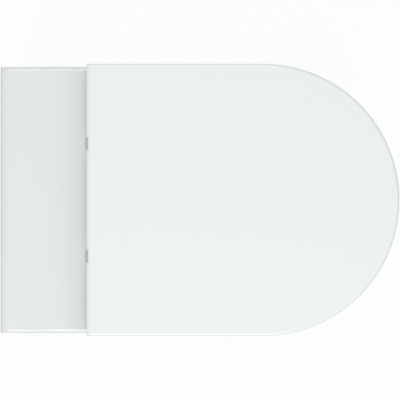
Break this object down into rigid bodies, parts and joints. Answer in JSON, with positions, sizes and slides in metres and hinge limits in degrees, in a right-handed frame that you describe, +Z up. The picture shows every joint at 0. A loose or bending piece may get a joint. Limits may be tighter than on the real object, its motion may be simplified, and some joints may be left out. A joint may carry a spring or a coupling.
{
  "type": "wall hung toilet",
  "caption": "Wall hung toilet with a D shaped ceramic pan, rimless bowl, soft closing seat and lid on quick release hinges.",
  "frame": {"origin": "midway between the two wall stud holes, on the wall plane", "axes": "+Z up, +Y into the wall, so the front of the pan faces -Y; +X to the right of someone facing the wall"},
  "size_m": [0.375, 0.55, 0.374],
  "materials": {
    "glaze": "glossy white glaze",
    "seat_plastic": "glossy white duroplast",
    "cap_plastic": "glossy white",
    "rubber": "soft grey rubber",
    "nylon": "natural nylon",
    "damper_plastic": "dark grey",
    "zinc_steel": "zinc plated",
    "chrome": "polished",
    "stainless": "turned stainless steel"
  },
  "bodies": {
    "pan": {"pan_shell": "glaze", "pan_bowl": "glaze", "pan_web": "glaze", "flush_inlet_seal": "rubber", "fixing_sleeve_left": "nylon", "fixing_sleeve_right": "nylon", "fixing_washer_left": "zinc_steel", "fixing_washer_right": "zinc_steel", "fixing_nut_left": "zinc_steel", "fixing_nut_right": "zinc_steel", "access_cap_left": "cap_plastic", "access_cap_right": "cap_plastic", "hinge_gasket_left": "rubber", "hinge_gasket_right": "rubber", "hinge_base_left": "chrome", "hinge_base_right": "chrome", "hinge_bolt_left": "stainless", "hinge_bolt_right": "stainless", "expansion_plug_left": "nylon", "expansion_plug_right": "nylon", "hinge_post_left": "stainless", "hinge_post_right": "stainless"},
    "hinge_blocks": {"hinge_block_left": "chrome", "hinge_block_right": "chrome", "hinge_pin_left": "stainless", "hinge_pin_right": "stainless", "release_spring_left": "stainless", "release_spring_right": "stainless"},
    "button_left": {"release_button_left": "chrome"},
    "button_right": {"release_button_right": "chrome"},
    "seat": {"seat_ring": "seat_plastic", "seat_buffers": "rubber", "seat_damper": "damper_plastic", "seat_bush": "nylon"},
    "lid": {"lid": "seat_plastic", "lid_buffers": "rubber", "lid_damper": "damper_plastic", "lid_bush": "nylon"}
  },
  "joints": [
    {"name": "seat_lift_off", "type": "slide", "parent": "pan", "child": "hinge_blocks", "axis": [0, 0, 1], "range_m": [0, 0.04]},
    {"name": "seat_hinge", "type": "hinge", "parent": "hinge_blocks", "child": "seat", "pos_m": [0, -0.133, 0.1105], "axis": [-1, 0, 0], "range_deg": [0, 95]},
    {"name": "lid_hinge", "type": "hinge", "parent": "seat", "child": "lid", "pos_m": [0, -0.133, 0.1105], "axis": [-1, 0, 0], "range_deg": [0, 92]},
    {"name": "release_button_left", "type": "slide", "parent": "hinge_blocks", "child": "button_left", "axis": [0, 0, -1], "range_m": [0, 0.002], "stiffness_N_per_m": 400, "springref_m": -0.003, "deforming": ["release_spring_left"]},
    {"name": "release_button_right", "type": "slide", "parent": "hinge_blocks", "child": "button_right", "axis": [0, 0, -1], "range_m": [0, 0.002], "stiffness_N_per_m": 400, "springref_m": -0.003, "deforming": ["release_spring_right"]}
  ]
}
